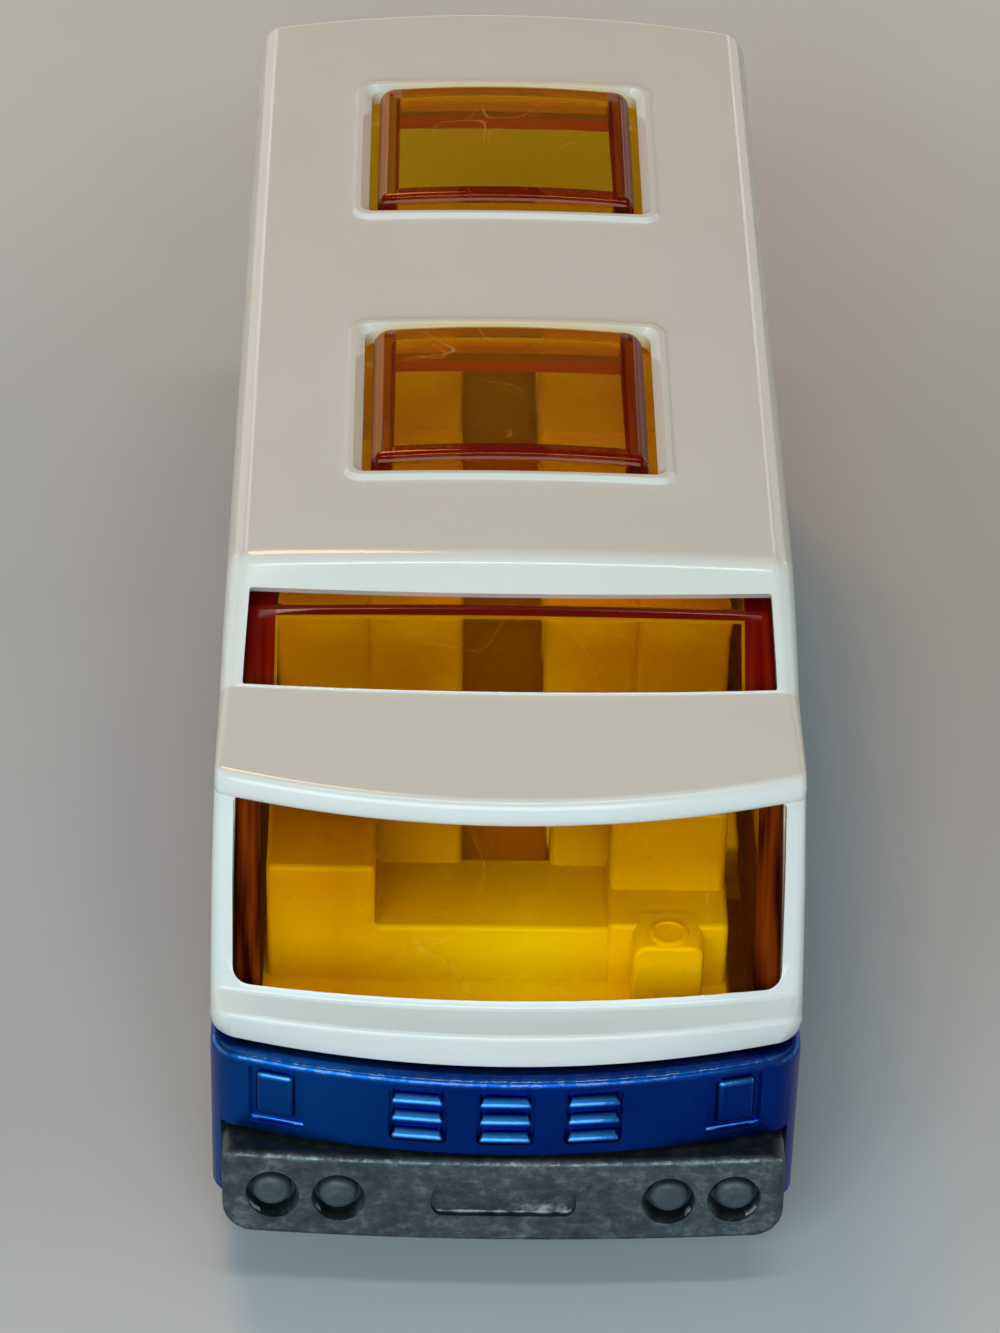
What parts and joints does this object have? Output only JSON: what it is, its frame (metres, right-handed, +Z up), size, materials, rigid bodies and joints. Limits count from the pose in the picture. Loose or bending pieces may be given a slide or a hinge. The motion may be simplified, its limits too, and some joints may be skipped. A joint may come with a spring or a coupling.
{
  "type": "toy coach",
  "caption": "Pocket-size die-cast toy coach with a painted metal lower body, white plastic upper body, amber glazing, moulded seats and free-rolling sprung wheels.",
  "frame": {"origin": "on the ground, under the middle of the coach", "axes": "+Z up, +Y from the front bumper to the rear, +X to the coach's own left"},
  "size_m": [0.0284, 0.077, 0.0314],
  "materials": {
    "blue_enamel": "dark blue metallic enamel on a zinc casting",
    "white_plastic": "glossy white moulded plastic",
    "amber_plastic": "clear amber moulded plastic",
    "yellow_plastic": "satin yellow moulded plastic",
    "bare_zinc": "bare tumbled zinc casting, dull and worn bright on its edges",
    "steel_wire": "bright drawn wire",
    "black_plastic": "satin black moulded plastic with a bright stamped hub",
    "leaf_plastic": "dark springy moulded plastic"
  },
  "bodies": {
    "coach_body": {"lower_body": "blue_enamel", "upper_body": "white_plastic", "window_glazing": "amber_plastic", "seat_interior": "yellow_plastic", "baseplate": "bare_zinc", "front_spring": "leaf_plastic", "rear_spring": "leaf_plastic"},
    "front_axle_set": {"front_axle": "steel_wire"},
    "rear_axle_set": {"rear_axle": "steel_wire"},
    "front_left_roller": {"front_left_wheel": "black_plastic"},
    "front_right_roller": {"front_right_wheel": "black_plastic"},
    "rear_left_roller": {"rear_left_wheel": "black_plastic"},
    "rear_right_roller": {"rear_right_wheel": "black_plastic"}
  },
  "joints": [
    {"name": "front_axle_rise", "type": "slide", "parent": "coach_body", "child": "front_axle_set", "axis": [0, 0, 1], "range_m": [0, 0.0006], "stiffness_N_per_m": 300, "springref_m": -0.001, "deforming": ["front_spring"]},
    {"name": "rear_axle_rise", "type": "slide", "parent": "coach_body", "child": "rear_axle_set", "axis": [0, 0, 1], "range_m": [0, 0.0006], "stiffness_N_per_m": 300, "springref_m": -0.001, "deforming": ["rear_spring"]},
    {"name": "front_left_spin", "type": "hinge", "parent": "front_axle_set", "child": "front_left_roller", "pos_m": [0.0115, -0.0215, 0.0052], "axis": [1, 0, 0], "continuous": true},
    {"name": "front_right_spin", "type": "hinge", "parent": "front_axle_set", "child": "front_right_roller", "pos_m": [-0.0115, -0.0215, 0.0052], "axis": [1, 0, 0], "continuous": true},
    {"name": "rear_left_spin", "type": "hinge", "parent": "rear_axle_set", "child": "rear_left_roller", "pos_m": [0.0115, 0.021, 0.0052], "axis": [1, 0, 0], "continuous": true},
    {"name": "rear_right_spin", "type": "hinge", "parent": "rear_axle_set", "child": "rear_right_roller", "pos_m": [-0.0115, 0.021, 0.0052], "axis": [1, 0, 0], "continuous": true}
  ]
}
